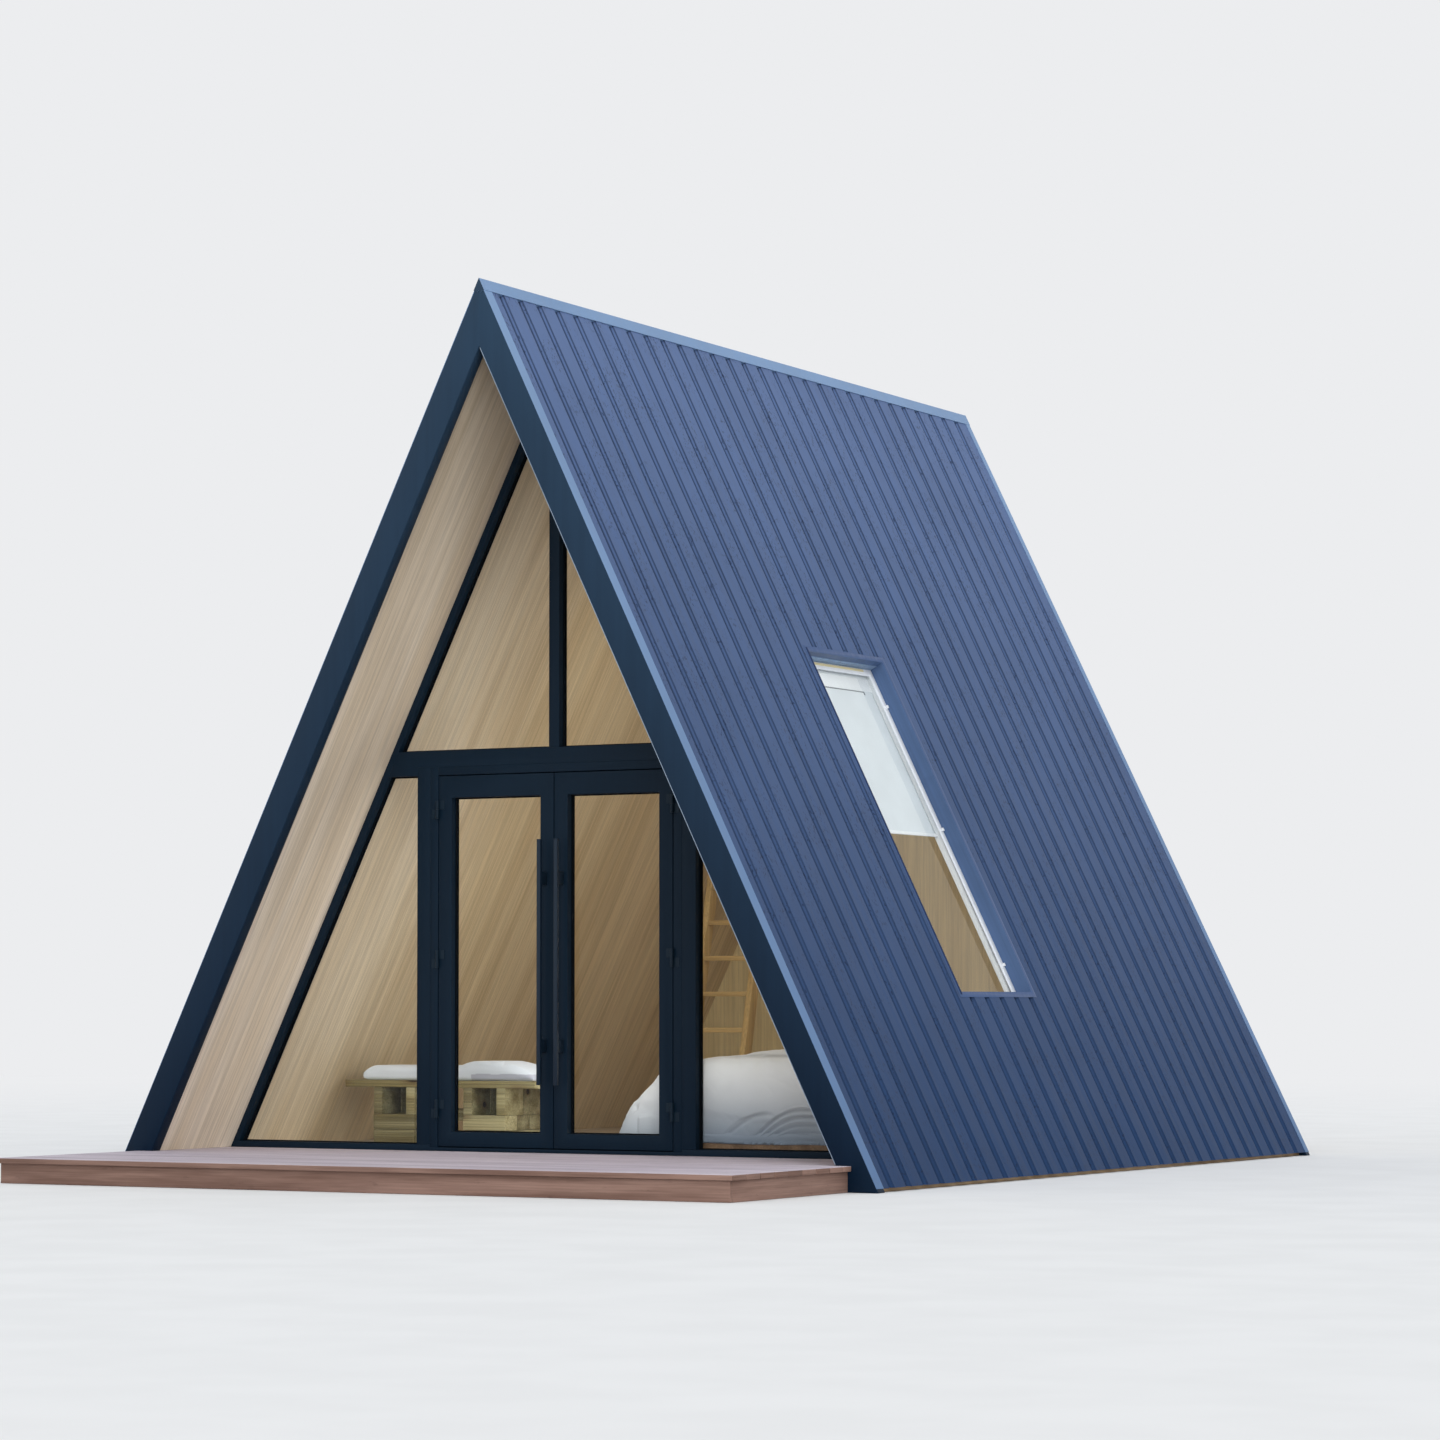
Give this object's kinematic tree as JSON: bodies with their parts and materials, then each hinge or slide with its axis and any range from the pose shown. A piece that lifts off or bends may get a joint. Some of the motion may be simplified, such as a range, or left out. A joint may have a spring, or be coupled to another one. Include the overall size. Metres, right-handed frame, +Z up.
{
  "type": "a-frame cabin",
  "caption": "A-frame cabin with profiled metal slopes down to the ground, a recessed glazed front with double doors, a low deck and a roof window.",
  "frame": {"origin": "middle of the ground under the whole cabin, deck included", "axes": "+Z up, +Y from the porch and deck towards the rear wall, +X to the right as seen from the porch"},
  "size_m": [4.6564, 7.008, 4.7095],
  "materials": {
    "framing_timber": "sawn",
    "deck_boards": "oiled, weathered",
    "skirt_boards": "stained red-brown",
    "floor_boards": "satin",
    "oak_lining": "pale oak veneer",
    "cladding_boards": "oiled",
    "roof_metal": "satin blue-grey",
    "trim_metal": "satin blue-grey",
    "fascia": "satin dark blue",
    "reveal_metal": "satin dark",
    "window_frame": "satin dark blue-grey",
    "roof_window_frame": "white satin",
    "hinge_metal": "satin dark",
    "handle_metal": "satin dark blue",
    "glass": "clear",
    "white_blind": "woven white",
    "white_fabric": "white cotton",
    "bed_timber": "stained brown",
    "bench_timber": "sawn",
    "ladder_timber": "planed"
  },
  "bodies": {
    "cabin": {"bed_base": "bed_timber", "bench": "bench_timber", "bench_cushions": "white_fabric", "deck": "deck_boards", "deck_joists": "framing_timber", "deck_skirt": "skirt_boards", "door_head": "window_frame", "door_jambs": "window_frame", "door_posts": "window_frame", "duvet": "white_fabric", "floor": "floor_boards", "floor_joists": "framing_timber", "gable_glass": "glass", "gable_mullion": "window_frame", "glazing_sill": "window_frame", "jamb_hinges": "hinge_metal", "ladder_stiles": "ladder_timber", "ladder_treads": "ladder_timber", "left_front_fascia": "fascia", "left_raking_frame": "window_frame", "left_rear_fascia": "fascia", "left_roof_panels": "oak_lining", "left_roof_sheet": "roof_metal", "rake_trims": "trim_metal", "rear_cladding": "cladding_boards", "rear_wall": "oak_lining", "ridge_cap": "trim_metal", "right_front_fascia": "fascia", "right_raking_frame": "window_frame", "right_rear_fascia": "fascia", "right_roof_panels": "oak_lining", "right_roof_sheet": "roof_metal", "roof_window_blind": "white_blind", "roof_window_frame": "roof_window_frame", "roof_window_glass": "glass", "roof_window_reveal": "reveal_metal", "side_glass": "glass", "sill_beams": "framing_timber", "transom": "window_frame"},
    "left_leaf": {"left_door_leaf": "window_frame", "left_door_glass": "glass", "left_leaf_hinges": "hinge_metal", "left_pull_handle": "handle_metal"},
    "right_leaf": {"right_door_leaf": "window_frame", "right_door_glass": "glass", "right_leaf_hinges": "hinge_metal", "right_pull_handle": "handle_metal"}
  },
  "joints": [
    {"name": "left_door_hinge", "type": "hinge", "parent": "cabin", "child": "left_leaf", "pos_m": [-0.7348, -1.556, 1.2], "axis": [0, 0, -1], "range_deg": [0, 100]},
    {"name": "right_door_hinge", "type": "hinge", "parent": "cabin", "child": "right_leaf", "pos_m": [0.7348, -1.556, 1.2], "axis": [0, 0, 1], "range_deg": [0, 100]}
  ]
}
